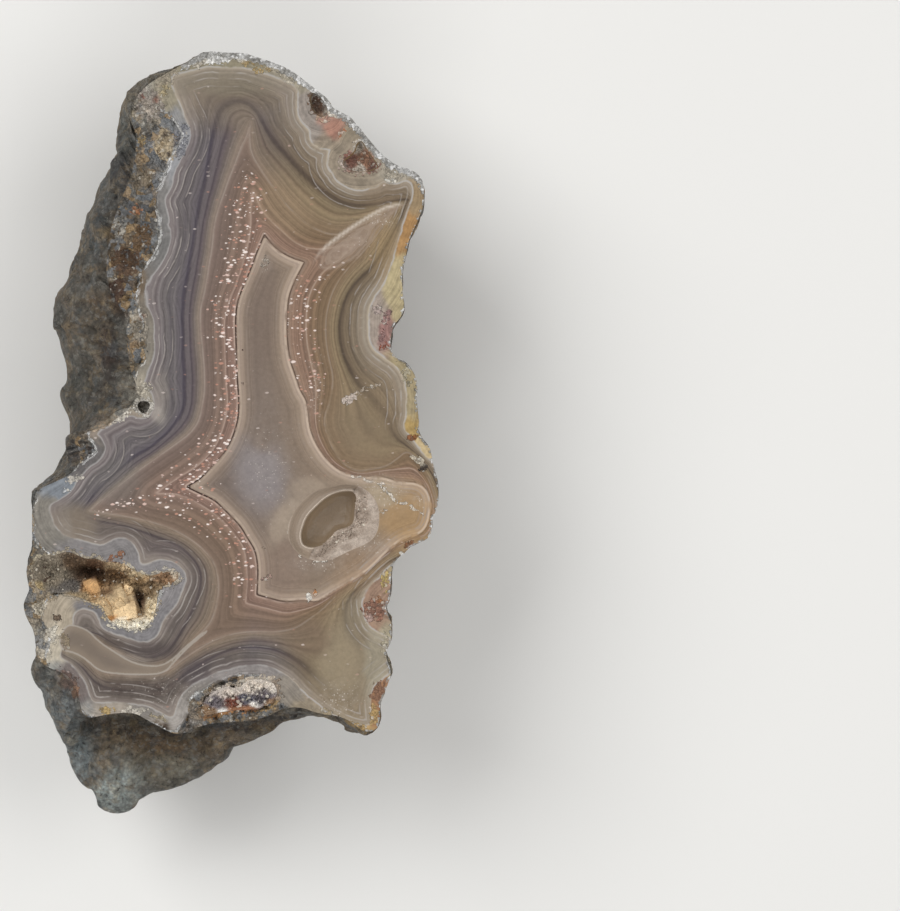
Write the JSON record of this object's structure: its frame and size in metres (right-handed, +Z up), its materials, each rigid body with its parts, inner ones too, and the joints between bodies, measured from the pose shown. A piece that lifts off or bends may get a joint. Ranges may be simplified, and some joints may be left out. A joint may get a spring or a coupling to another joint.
{
  "type": "agate specimen",
  "caption": "Half of a sawn agate nodule, banded grey-violet and olive-brown, with a crystal-lined hollow and an oval vug in the flat sawn face.",
  "frame": {"origin": "middle of the bounding box, on the ground under the stone", "axes": "+Z up, out of the sawn face; +Y towards the narrow rounded end, along the length; +X across the face"},
  "size_m": [0.0442, 0.082, 0.024],
  "materials": {
    "agate": "polished",
    "buff_crystal": "satin",
    "frosty_quartz": "satin",
    "druse_quartz": "polished"
  },
  "bodies": {
    "root": {"agate_half": "agate", "hollow_crust": "buff_crystal", "vug_druse": "frosty_quartz", "ledge_druse": "druse_quartz"}
  },
  "joints": []
}
